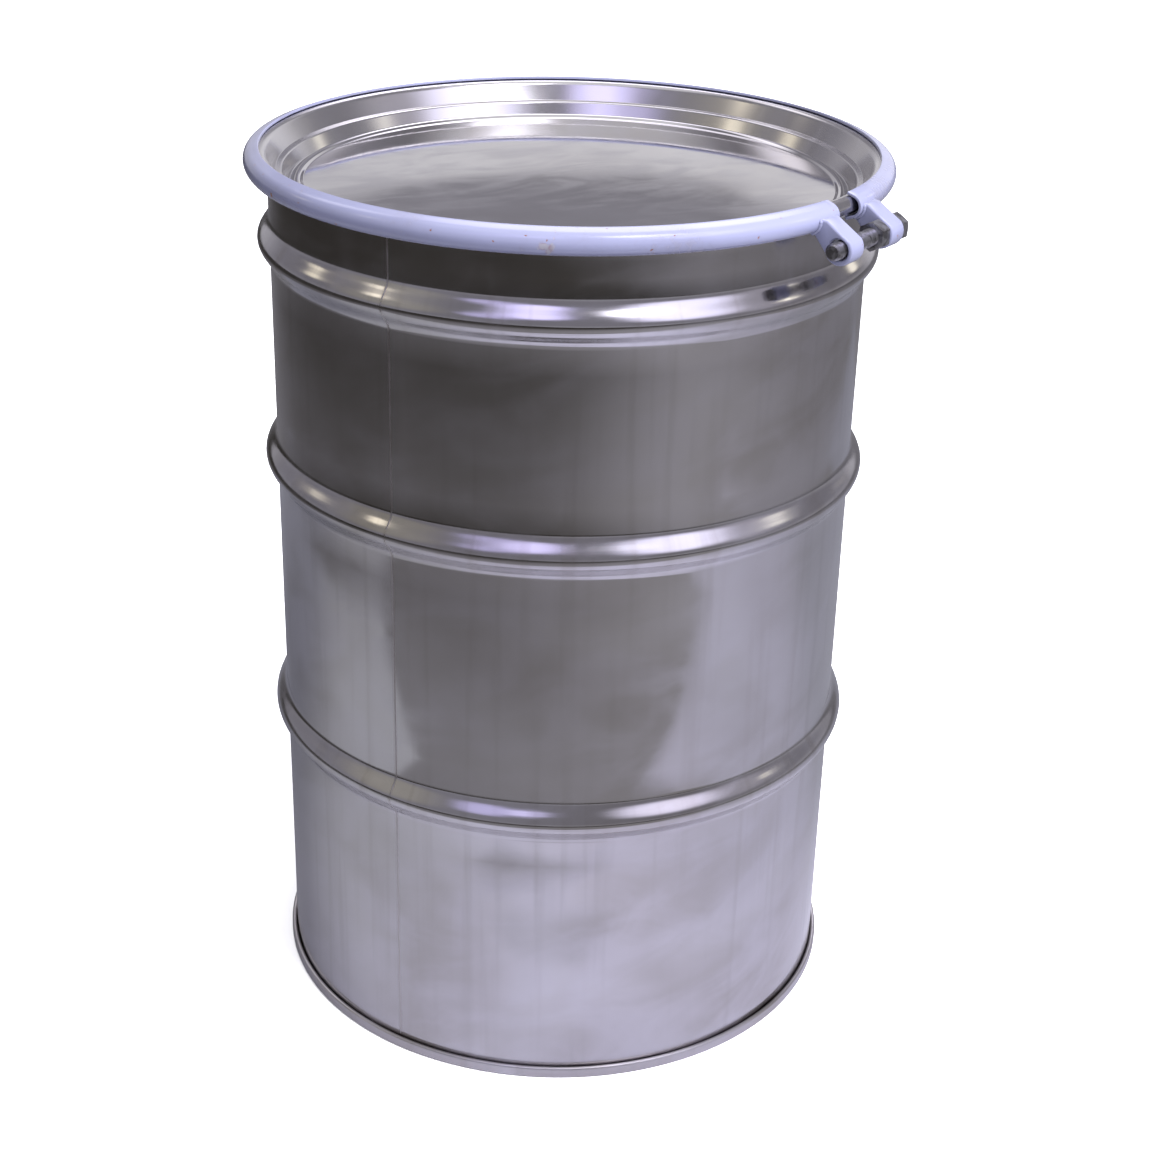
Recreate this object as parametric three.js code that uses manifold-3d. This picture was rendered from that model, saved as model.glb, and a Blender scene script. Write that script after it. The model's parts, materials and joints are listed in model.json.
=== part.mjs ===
// Open-head steel drum with a lift-off lid and a bolted closing ring.
// Millimetres, +Z up. The origin is on the drum's axis, at the plane it stands on.

import * as THREE from "three";
import { mergeVertices } from "three/addons/utils/BufferGeometryUtils.js";
import Module from "manifold-3d";

const wasm = await Module();
wasm.setup();

// ---- Driving dimensions -------------------------------------------------

const segments = 48; // facets round the drum; the same on every turned piece, so nested facets stay parallel
const seat = 0.3; // gap between pieces that touch

const insideRadius = 285.75; // body, 22 1/2 inch bore
const bodyGauge = 1.2;
const hoopRise = 11.5; // crest of a rolling hoop outside the wall
const hoopWidth = 46;
const lowHoopHeight = 297; // above the floor
const middleHoopHeight = 572;
const topHoopDrop = 87.3; // below the top of the ring

const headGauge = 1.2; // bottom head
const headRecess = 17.2; // top of the bottom head's panel above the floor
const headCornerRadius = 4;
const seamGap = 0.75; // sealed space between two layers of the bottom seam
const seamHeight = 12.15;
const seamCornerRadius = 2;
const sealantRadius = 1;

const curlRadius = 6.125; // outside radius of the rolled top edge
const curlMouthAngle = -125; // the rolled edge stops here, short of the wall

const ringTop = 876.3; // overall height, 34 1/2 inch
const ringReach = 10.5; // outermost point outside the rolled edge
const ringGauge = 2.7;
const ringLipHook = 1.725; // inner edge of both flanges, out from the middle of the rolled edge
const ringBendRadius = 9.8; // middle of the sheet, round the channel's back
const flangeSlope = 18; // degrees, both flanges close in on the back of the channel
const ringGap = 36; // between the ring's ends
const ringSlit = 0.4; // at the back, where the ring flexes

const closureAngle = -45; // degrees round +Z

const boltRadius = 7.94; // 5/8 inch
const threadDepth = 1.22;
const boltReach = 15.5; // axis of the bolt outside the ring
const boltDrop = 33.8; // axis of the bolt below the top of the ring
const boltHeadAcrossFlats = 23.8;
const boltHeadThickness = 10;
const boltLength = 101.6; // under the head, 4 inch
const boltTipChamfer = 1.5;
const nutThickness = 13.5;

const lugSpan = 48; // between the lugs' inner faces
const lugThickness = 22;
const lugEndRadius = 14;
const lugTopDrop = 10; // top of the lugs below the top of the ring
const lugReach = 2.5; // how far the lug's top stands out from the ring
const plainHoleClearance = 0.8; // round the bolt in the unthreaded lug
const swingClearance = 1.6; // round the thread's root in the threaded lug, which swings as the ring opens

const lidGauge = 1.5;
const lidRimRadius = 8; // middle of the sheet, over the gasket
const lidRimShift = 2.125; // middle of the rim's bend, out from the middle of the rolled edge
const lidRimSteps = 5; // facets round the rim
const lidSkirt = 2.5; // straight edge below the rim's round part
const lidWallSlope = 30; // degrees from upright, outer wall of the recess
const lidStepDrop = 18.5; // each drop is measured down from the crest of the rim
const lidStepWidth = 5.5;
const lidGrooveInset = 19.25; // outer edge of the groove, in from the body's inside
const lidGrooveWidth = 4;
const lidGrooveDrop = 33;
const lidBeadInset = 27.75; // crest of the bead, in from the body's inside
const lidBeadDrop = 28;
const lidBeadWidth = 9;
const lidPanelDrop = 31.5;

// ---- Derived sizes ------------------------------------------------------

const radians = THREE.MathUtils.degToRad;
const wallRadius = insideRadius + bodyGauge / 2;

const hoopHeights = [lowHoopHeight, middleHoopHeight, ringTop - topHoopDrop];
const curlCentreRadius = insideRadius + curlRadius;
const ringRadius = insideRadius + 2 * curlRadius + ringReach;
const ringLipRadius = curlCentreRadius + ringLipHook;
const ringCentreHeight = ringTop - flangeRise(ringLipRadius) - ringGauge / 2 * Math.cos(radians(flangeSlope));
const curlHeight = heightOnLowerFlange(curlCentreRadius, curlRadius + seat);
const lidRimCentre = curlCentreRadius + lidRimShift;
const lidGrooveRadius = insideRadius - lidGrooveInset;
const lidBeadRadius = insideRadius - lidBeadInset;
const lidRimHeight = heightUnderUpperFlange(lidRimCentre, lidRimRadius + lidGauge / 2 + seat);
const lidCrest = lidRimHeight + lidRimRadius + lidGauge / 2;

const bodyHookRadius = wallRadius + 2 * (bodyGauge + seamGap);
const coverHookRadius = wallRadius + bodyGauge + seamGap;
const chuckRadius = insideRadius - seat - headGauge / 2;
const seamWallRadius = bodyHookRadius + bodyGauge / 2 + seamGap + headGauge / 2;

const threadRootRadius = boltRadius - threadDepth;
const nutRadius = boltHeadAcrossFlats / 2 / Math.cos(Math.PI / 6);
const lugFace = lugSpan / 2;
const lugOuterFace = lugFace + lugThickness;
const boltOffset = ringRadius + boltReach;
const boltHeight = ringTop - boltDrop;

// Radius of the middle of the ring's channel bend, and where a flange starts on it.
function ringBendCentre() {
  return ringRadius - ringGauge / 2 - ringBendRadius;
}

// Height of the middle of the upper flange above the middle of the ring, at a radius.
function flangeRise(radius) {
  const slope = radians(flangeSlope);
  const startRadius = ringBendCentre() + ringBendRadius * Math.sin(slope);
  return ringBendRadius * Math.cos(slope) + (startRadius - radius) * Math.tan(slope);
}

// Height of a round centre that keeps `distance` from the inner surface of the lower flange.
function heightOnLowerFlange(radius, distance) {
  const spread = (distance + ringGauge / 2) / Math.cos(radians(flangeSlope));
  return ringCentreHeight - flangeRise(radius) + spread;
}

// Height of a round centre that keeps `distance` from the inner surface of the upper flange.
function heightUnderUpperFlange(radius, distance) {
  const spread = (distance + ringGauge / 2) / Math.cos(radians(flangeSlope));
  return ringCentreHeight + flangeRise(radius) - spread;
}

// ---- Outlines -----------------------------------------------------------

const point = (radius, height) => new THREE.Vector2(radius, height);

// Points on an arc about (radius, height), from one angle in degrees to another.
function arc(centreRadius, centreHeight, bendRadius, from, to, steps) {
  return Array.from({ length: steps + 1 }, (_, i) => {
    const angle = radians(from + (to - from) * i / steps);
    return point(centreRadius + bendRadius * Math.cos(angle), centreHeight + bendRadius * Math.sin(angle));
  });
}

// One surface of a sheet: the middle line moved sideways, with mitred corners.
function offsetLine(line, distance) {
  return line.map((here, i) => {
    const before = line[Math.max(i - 1, 0)];
    const after = line[Math.min(i + 1, line.length - 1)];
    const incoming = (i > 0 ? here.clone().sub(before) : after.clone().sub(here)).normalize();
    const outgoing = (i < line.length - 1 ? after.clone().sub(here) : incoming.clone()).normalize();
    const normal = incoming.clone().add(outgoing).normalize();
    const reach = distance / normal.dot(incoming);
    return point(here.x - normal.y * reach, here.y + normal.x * reach);
  });
}

// Closed section of a sheet, from its middle line and gauge.
function sheetSection(line, gauge) {
  return [...offsetLine(line, gauge / 2), ...offsetLine(line, -gauge / 2).reverse()];
}

// ---- Solids -------------------------------------------------------------

// Volume inside a closed mesh, negative when its faces point in.
function signedVolume(positions, index) {
  const [a, b, c] = [new THREE.Vector3(), new THREE.Vector3(), new THREE.Vector3()];
  let volume = 0;
  for (let i = 0; i < index.length; i += 3) {
    a.fromArray(positions, 3 * index[i]);
    b.fromArray(positions, 3 * index[i + 1]);
    c.fromArray(positions, 3 * index[i + 2]);
    volume += a.dot(b.cross(c)) / 6;
  }
  return volume;
}

// Geometry with shared vertices, no empty triangles and its faces pointing out.
function closed(geometry) {
  const bare = geometry.clone();
  bare.deleteAttribute("normal");
  bare.deleteAttribute("uv");
  const merged = mergeVertices(bare, 1e-4);
  const source = merged.index.array;
  const index = [];
  for (let i = 0; i < source.length; i += 3) {
    const [a, b, c] = [source[i], source[i + 1], source[i + 2]];
    if (a !== b && b !== c && c !== a) index.push(a, b, c);
  }
  if (signedVolume(merged.attributes.position.array, index) < 0) index.reverse();
  const result = new THREE.BufferGeometry();
  result.setAttribute("position", merged.attributes.position);
  result.setIndex(index);
  return result;
}

function toSolid(geometry) {
  const tidy = closed(geometry);
  const vertProperties = new Float32Array(tidy.attributes.position.array);
  const triVerts = new Uint32Array(tidy.index.array);
  return new wasm.Manifold(new wasm.Mesh({ numProp: 3, vertProperties, triVerts }));
}

function toGeometry(solid) {
  const mesh = solid.getMesh();
  const geometry = new THREE.BufferGeometry();
  geometry.setAttribute("position", new THREE.BufferAttribute(new Float32Array(mesh.vertProperties), 3));
  geometry.setIndex(new THREE.BufferAttribute(new Uint32Array(mesh.triVerts), 1));
  return geometry;
}

// A section turned round the drum's axis. An open section starts and ends on the axis.
function revolve(section) {
  const onAxis = section[0].x === 0;
  const profile = onAxis ? section : [...section, section[0]];
  return closed(new THREE.LatheGeometry(profile, segments).rotateX(Math.PI / 2));
}

// A plate whose outline is (distance from the drum's axis, height), from one place along the bolt to another.
function plate(outline, from, to) {
  const shape = new THREE.Shape(outline);
  const geometry = new THREE.ExtrudeGeometry(shape, { depth: to - from, bevelEnabled: false });
  return geometry.rotateX(Math.PI / 2).translate(0, to, 0);
}

// A round or six-sided rod along the bolt's axis.
function rod(radiusAtFrom, radiusAtTo, from, to, sides) {
  const geometry = new THREE.CylinderGeometry(radiusAtTo, radiusAtFrom, to - from, sides);
  return geometry.translate(boltOffset, (from + to) / 2, 0).translate(0, 0, boltHeight);
}

// ---- Materials ----------------------------------------------------------

const finish = (color, roughness, metalness) => new THREE.MeshStandardMaterial({ color, roughness, metalness });
const stainless = finish(0xa19da0, 0.34, 1);
const enamel = finish(0xc9c7dd, 0.42, 0);
const zinc = finish(0x9a98a0, 0.38, 1);
const rubber = finish(0x26262a, 0.8, 0);
const sealant = finish(0x6d675c, 0.9, 0);

function piece(name, geometry, material) {
  const mesh = new THREE.Mesh(geometry, material);
  mesh.name = name;
  return mesh;
}

// ---- Drum body ----------------------------------------------------------

// The wall swells to a crest and back over the hoop's width.
function hoopLine(height) {
  return [-1, -0.5, 0, 0.5, 1].map((place) => {
    const swell = Math.cos(place * Math.PI / 2) ** 2;
    return point(wallRadius + hoopRise * swell, height + place * hoopWidth / 2);
  });
}

function drumShell() {
  const hookTurn = seamGap + bodyGauge;
  const turnHeight = headGauge + seat + bodyGauge / 2 + hookTurn;
  const line = [
    point(bodyHookRadius, seamHeight - headGauge - 2 * seat - bodyGauge / 2),
    ...arc(coverHookRadius, turnHeight, hookTurn, 0, -180, 4),
    ...hoopHeights.flatMap(hoopLine),
    ...arc(curlCentreRadius, curlHeight, curlRadius - bodyGauge / 2, 180, curlMouthAngle, 8),
  ];
  return piece("drum_shell", revolve(sheetSection(line, bodyGauge)), stainless);
}

function bottomHead() {
  const hookTurn = seamGap + headGauge;
  const turnHeight = seamHeight - headGauge / 2 - hookTurn;
  const floorLine = headGauge / 2;
  const panel = headRecess - headGauge / 2;
  const hookEnd = headGauge + seat + bodyGauge + 2 * sealantRadius + 2 * seat;
  const line = [
    point(0, panel),
    ...arc(chuckRadius - headCornerRadius, panel - headCornerRadius, headCornerRadius, 90, 0, 2),
    ...arc(chuckRadius + seamCornerRadius, floorLine + seamCornerRadius, seamCornerRadius, 180, 270, 2),
    ...arc(seamWallRadius - seamCornerRadius, floorLine + seamCornerRadius, seamCornerRadius, -90, 0, 2),
    ...arc(bodyHookRadius, turnHeight, hookTurn, 0, 180, 4),
    point(coverHookRadius, hookEnd),
  ];
  return piece("bottom_head", revolve(sheetSection(line, headGauge)), stainless);
}

// Bead of seaming compound in the bend of the body's hook.
function seamSealant() {
  const height = headGauge + seat + bodyGauge + sealantRadius + seat;
  const section = arc(coverHookRadius, height, sealantRadius, 0, 300, 5);
  return piece("seam_sealant", revolve(section), sealant);
}

// ---- Lid ----------------------------------------------------------------

function lid() {
  const slope = radians(lidWallSlope);
  const level = (drop) => lidCrest - lidGauge / 2 - drop;
  const wallTop = point(lidRimCentre - lidRimRadius * Math.cos(slope), lidRimHeight + lidRimRadius * Math.sin(slope));
  const stepRadius = wallTop.x - (wallTop.y - level(lidStepDrop)) * Math.tan(slope);
  const line = [
    point(lidRimCentre + lidRimRadius, lidRimHeight - lidSkirt),
    ...arc(lidRimCentre, lidRimHeight, lidRimRadius, 0, 180 - lidWallSlope, lidRimSteps),
    point(stepRadius, level(lidStepDrop)),
    point(stepRadius - lidStepWidth, level(lidStepDrop) - lidGauge / 2),
    point(lidGrooveRadius, level(lidGrooveDrop)),
    point(lidGrooveRadius - lidGrooveWidth, level(lidGrooveDrop)),
    point(lidBeadRadius, level(lidBeadDrop)),
    point(lidBeadRadius - lidBeadWidth / 2, level(lidPanelDrop)),
    point(0, level(lidPanelDrop)),
  ].reverse();
  return piece("lid", revolve(sheetSection(line, lidGauge)), stainless);
}

// Sponge gasket, domed into the lid's rim and resting on the rolled edge.
function lidGasket() {
  const halfFacet = radians(180 - lidWallSlope) / lidRimSteps / 2;
  const dome = lidRimRadius * Math.cos(halfFacet) - lidGauge / 2 - seat;
  const bottom = curlHeight + curlRadius + seat;
  const lowest = THREE.MathUtils.radToDeg(Math.asin((bottom - lidRimHeight) / dome));
  const section = arc(lidRimCentre, lidRimHeight, dome, lowest, 180 - lowest, 6);
  return piece("lid_gasket", revolve(section), rubber);
}

// ---- Closing ring and its bolt, with the gap at +X ------------------------

function ringLine() {
  const centre = ringBendCentre();
  const bend = arc(centre, ringCentreHeight, ringBendRadius, 90 - flangeSlope, flangeSlope - 90, 6);
  const lipRise = flangeRise(ringLipRadius);
  return [
    point(ringLipRadius, ringCentreHeight + lipRise),
    ...bend,
    point(ringLipRadius, ringCentreHeight - lipRise),
  ];
}

// Half of the ring, on the side of the bolt given by +1 or -1.
function ringHalf(name, side) {
  const reach = 2 * ringRadius;
  const region = [
    [0, ringSlit / 2], [-reach, ringSlit / 2], [-reach, reach],
    [reach, reach], [reach, ringGap / 2], [0, ringGap / 2],
  ].map(([x, y]) => point(x, side * y));
  const cutter = new THREE.ExtrudeGeometry(new THREE.Shape(region), { depth: 2 * ringTop, bevelEnabled: false });
  const whole = toSolid(revolve(sheetSection(ringLine(), ringGauge)));
  return piece(name, toGeometry(whole.intersect(toSolid(cutter))), enamel);
}

// The space the closed ring takes up, with the gap that a welded lug keeps to it.
function ringEnvelope() {
  const outline = offsetLine(ringLine(), ringGauge / 2 + seat);
  const inner = insideRadius / 2;
  return toSolid(revolve([point(inner, outline[0].y), ...outline, point(inner, outline.at(-1).y)]));
}

// A cast lug hanging from the ring's outside, drilled for the bolt.
function lug(name, side, holeRadius) {
  const top = ringTop - lugTopDrop;
  const outline = [
    point(ringBendCentre(), top),
    point(ringRadius + lugReach, top),
    ...arc(boltOffset, boltHeight, lugEndRadius, 40, -160, 12),
    point(ringBendCentre(), ringCentreHeight - ringBendRadius),
  ];
  const [from, to] = side > 0 ? [lugFace, lugOuterFace] : [-lugOuterFace, -lugFace];
  const hole = toSolid(rod(holeRadius, holeRadius, from - 1, to + 1, 24));
  const solid = toSolid(plate(outline, from, to)).subtract(ringEnvelope()).subtract(hole);
  return piece(name, toGeometry(solid), enamel);
}

function closingBolt() {
  const underHead = lugOuterFace + seat;
  const tip = underHead - boltLength;
  const parts = [
    rod(nutRadius, nutRadius, underHead, underHead + boltHeadThickness, 6),
    rod(boltRadius, boltRadius, lugFace, underHead, 24),
    rod(threadRootRadius, threadRootRadius, tip + boltTipChamfer, lugFace, 24),
    rod(threadRootRadius - boltTipChamfer, threadRootRadius, tip, tip + boltTipChamfer, 24),
  ].map(toSolid);
  return piece("closing_bolt", toGeometry(parts.reduce((joined, next) => joined.add(next))), zinc);
}

function jamNut() {
  const face = lugFace - seat;
  const blank = toSolid(rod(nutRadius, nutRadius, face - nutThickness, face, 6));
  const bore = threadRootRadius + seat;
  const hole = toSolid(rod(bore, bore, face - nutThickness - 1, face + 1, 24));
  return piece("jam_nut", toGeometry(blank.subtract(hole)), zinc);
}

// ---- Assembly -----------------------------------------------------------

const closure = new THREE.Group();
closure.rotation.z = radians(closureAngle);
closure.add(
  ringHalf("ring_plain_side", 1),
  ringHalf("ring_threaded_side", -1),
  lug("lug_plain", 1, boltRadius + plainHoleClearance),
  lug("lug_threaded", -1, threadRootRadius + swingClearance),
  closingBolt(),
  jamNut(),
);

const drum = new THREE.Group();
drum.add(drumShell(), bottomHead(), seamSealant(), lid(), lidGasket(), closure);

export default drum;
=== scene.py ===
"""Looks of an open-head steel drum with a bolted closing ring, built round its CAD frame.

Metres, +Z up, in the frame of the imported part.
"""

import json
import logging
import math
from dataclasses import dataclass
from enum import Enum

import bmesh
import bpy
from mathutils import Matrix, Vector, noise


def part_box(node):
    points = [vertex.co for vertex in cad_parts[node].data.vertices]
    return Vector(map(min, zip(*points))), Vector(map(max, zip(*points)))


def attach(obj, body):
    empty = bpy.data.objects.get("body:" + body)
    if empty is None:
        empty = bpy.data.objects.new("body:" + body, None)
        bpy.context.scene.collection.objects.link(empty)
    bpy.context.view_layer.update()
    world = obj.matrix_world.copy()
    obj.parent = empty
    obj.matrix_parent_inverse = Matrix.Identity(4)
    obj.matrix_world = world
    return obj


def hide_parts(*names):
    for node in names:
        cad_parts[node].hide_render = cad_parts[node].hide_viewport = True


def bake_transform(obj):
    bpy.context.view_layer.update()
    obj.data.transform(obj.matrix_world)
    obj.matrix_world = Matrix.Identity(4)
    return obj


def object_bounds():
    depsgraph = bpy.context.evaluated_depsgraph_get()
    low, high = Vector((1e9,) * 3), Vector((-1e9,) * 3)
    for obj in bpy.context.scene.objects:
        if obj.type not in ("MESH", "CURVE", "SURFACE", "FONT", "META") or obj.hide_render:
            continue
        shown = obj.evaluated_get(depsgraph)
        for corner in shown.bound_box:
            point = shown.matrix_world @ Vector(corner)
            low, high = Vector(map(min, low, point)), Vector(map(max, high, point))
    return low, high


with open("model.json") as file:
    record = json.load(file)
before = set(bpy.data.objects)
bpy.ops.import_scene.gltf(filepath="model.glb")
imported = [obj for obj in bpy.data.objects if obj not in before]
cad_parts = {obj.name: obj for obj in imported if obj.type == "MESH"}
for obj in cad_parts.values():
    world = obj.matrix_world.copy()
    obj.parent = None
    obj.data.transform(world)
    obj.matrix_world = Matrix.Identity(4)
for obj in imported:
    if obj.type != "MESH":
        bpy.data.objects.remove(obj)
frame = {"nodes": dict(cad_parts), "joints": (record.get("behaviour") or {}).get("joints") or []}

LOG = logging.getLogger("drum")
CAD_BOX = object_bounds()
MM = 0.001
TURN = 2 * math.pi
SAME = 1e-6


class Body(Enum):
    """Moving bodies of the frame."""

    DRUM = "drum"
    LID = "lid"
    RING_PLAIN = "ring_plain_half"
    RING_THREADED = "ring_threaded_half"
    BOLT = "bolt"
    NUT = "nut"


class Slot(Enum):
    """Material slots of the record."""

    STAINLESS = "stainless"
    GASKET = "gasket"
    ENAMEL = "ring_enamel"
    ZINC = "zinc"


class Lay(Enum):
    """How a sheet's pattern is laid: round the drum's axis, or across a flat panel."""

    ROUND = "round"
    FLAT = "flat"


class Side(Enum):
    """Side of the closing ring's gap, along the bolt: the head is on the plain side."""

    PLAIN = 1
    THREADED = -1


# ---- Shader maths -----------------------------------------------------------


class Value:
    """A number that varies over a surface, used in Python arithmetic."""

    def __init__(self, graph: "Graph", socket: bpy.types.NodeSocket) -> None:
        """Wraps an output socket of a graph."""
        self.graph = graph
        self.socket = socket

    def math(self, operation: str, *others: "Value | float", clamp: bool = False) -> "Value":
        """Adds a Math node.

        Args:
            operation: Math node operation.
            others: Operands after this one.
            clamp: Whether the result stays between 0 and 1.

        Returns:
            The node's result.
        """
        settings = {"operation": operation, "use_clamp": clamp}
        return self.graph.node("ShaderNodeMath", settings, dict(enumerate([self, *others])))

    def __add__(self, other: "Value | float") -> "Value":
        """Sum."""
        return self.math("ADD", other)

    __radd__ = __add__

    def __mul__(self, other: "Value | float") -> "Value":
        """Product."""
        return self.math("MULTIPLY", other)

    __rmul__ = __mul__

    def __sub__(self, other: "Value | float") -> "Value":
        """Difference."""
        return self.math("SUBTRACT", other)

    def __rsub__(self, other: float) -> "Value":
        """Difference from a number."""
        return self * -1.0 + other

    def __pow__(self, other: float) -> "Value":
        """Power."""
        return self.math("POWER", other)

    def __abs__(self) -> "Value":
        """Size without sign."""
        return self.math("ABSOLUTE")

    def clamped(self) -> "Value":
        """This value, held between 0 and 1."""
        return self.math("ADD", 0.0, clamp=True)

    def ramp(self, low: float, high: float) -> "Value":
        """Smooth rise from 0 at low to 1 at high, or a fall where low is the larger.

        Args:
            low: Value that gives 0.
            high: Value that gives 1.

        Returns:
            The eased value.
        """
        rising = low < high
        inputs = {
            "Value": self,
            "From Min": min(low, high),
            "From Max": max(low, high),
            "To Min": 0.0 if rising else 1.0,
            "To Max": 1.0 if rising else 0.0,
        }
        return self.graph.node("ShaderNodeMapRange", {"interpolation_type": "SMOOTHSTEP"}, inputs)


class Graph:
    """The node tree of a material or world."""

    def __init__(self, owner: "bpy.types.Material | bpy.types.World") -> None:
        """Empties the owner's node tree.

        Args:
            owner: Material or world that gets the nodes.
        """
        owner.use_nodes = True
        self.tree = owner.node_tree
        self.tree.nodes.clear()

    def node(self, kind: str, settings: dict, inputs: dict, output: "int | str" = 0) -> Value:
        """Adds a node.

        Args:
            kind: Node type.
            settings: Node attributes, set before its inputs.
            inputs: Numbers, colours or values for its sockets, by name or place.
            output: Socket to return.

        Returns:
            The chosen output.
        """
        made = self.tree.nodes.new(kind)
        for name, setting in settings.items():
            setattr(made, name, setting)
        for name, given in inputs.items():
            if isinstance(given, Value):
                self.tree.links.new(given.socket, made.inputs[name])
            else:
                made.inputs[name].default_value = given
        return Value(self, made.outputs[output] if made.outputs else None)

    def place(self) -> Value:
        """Object coordinates, in metres."""
        return self.node("ShaderNodeTexCoord", {}, {}, "Object")

    def axes(self, vector: Value) -> tuple[Value, Value, Value]:
        """The three parts of a vector."""
        split = self.node("ShaderNodeSeparateXYZ", {}, {0: vector}).socket.node
        return tuple(Value(self, part) for part in split.outputs)

    def vector(self, x: "Value | float", y: "Value | float", z: "Value | float") -> Value:
        """A vector from its parts."""
        return self.node("ShaderNodeCombineXYZ", {}, {0: x, 1: y, 2: z})

    def noise(
        self, where: Value, scale: float, detail: float = 3.0, distortion: float = 0.0
    ) -> Value:
        """Cloudy noise around 0.5.

        Args:
            where: Texture coordinates.
            scale: Features per metre.
            detail: Octaves.
            distortion: Swirl.

        Returns:
            The noise value.
        """
        inputs = {"Vector": where, "Scale": scale, "Detail": detail, "Distortion": distortion}
        return self.node("ShaderNodeTexNoise", {}, inputs)

    def specks(self, where: Value, scale: float) -> Value:
        """Distance to scattered points, in cells."""
        return self.node("ShaderNodeTexVoronoi", {}, {"Vector": where, "Scale": scale}, "Distance")

    def distance(self, where: Value, target: Vector) -> Value:
        """Distance from a fixed point, in metres."""
        inputs = {0: where, 1: tuple(target)}
        return self.node("ShaderNodeVectorMath", {"operation": "DISTANCE"}, inputs, "Value")

    def mix(
        self, factor: "Value | float", first: "Value | tuple", second: "Value | tuple"
    ) -> Value:
        """Blend of two colours.

        Args:
            factor: 0 for the first colour, 1 for the second.
            first: Colour.
            second: Colour.

        Returns:
            The blended colour.
        """
        given = {0: factor, 6: colour(first), 7: colour(second)}
        return self.node("ShaderNodeMix", {"data_type": "RGBA"}, given, 2)

    def bump(
        self, height: Value, depth: float, strength: float, under: "Value | None" = None
    ) -> Value:
        """Surface relief.

        Args:
            height: Relief, 0 to 1.
            depth: Height of 1, in metres.
            strength: How strongly it turns the surface.
            under: Relief that this one lies on.

        Returns:
            The surface normal.
        """
        inputs = {"Height": height, "Distance": depth, "Strength": strength}
        if under is not None:
            inputs["Normal"] = under
        return self.node("ShaderNodeBump", {}, inputs)

    def surface(self, inputs: dict) -> None:
        """Ends a material with one shader.

        Args:
            inputs: What its sockets get.
        """
        shader = self.node("ShaderNodeBsdfPrincipled", {}, inputs)
        self.node("ShaderNodeOutputMaterial", {}, {"Surface": shader})


def colour(given: "Value | tuple") -> "Value | tuple":
    """A colour with its alpha, or the value unchanged."""
    return given if isinstance(given, Value) else (*given, 1.0)


def blank_material(name: str) -> tuple[bpy.types.Material, Graph]:
    """A new material and its empty node tree."""
    made = bpy.data.materials.new(name)
    return made, Graph(made)


# ---- Finishes ---------------------------------------------------------------


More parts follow.
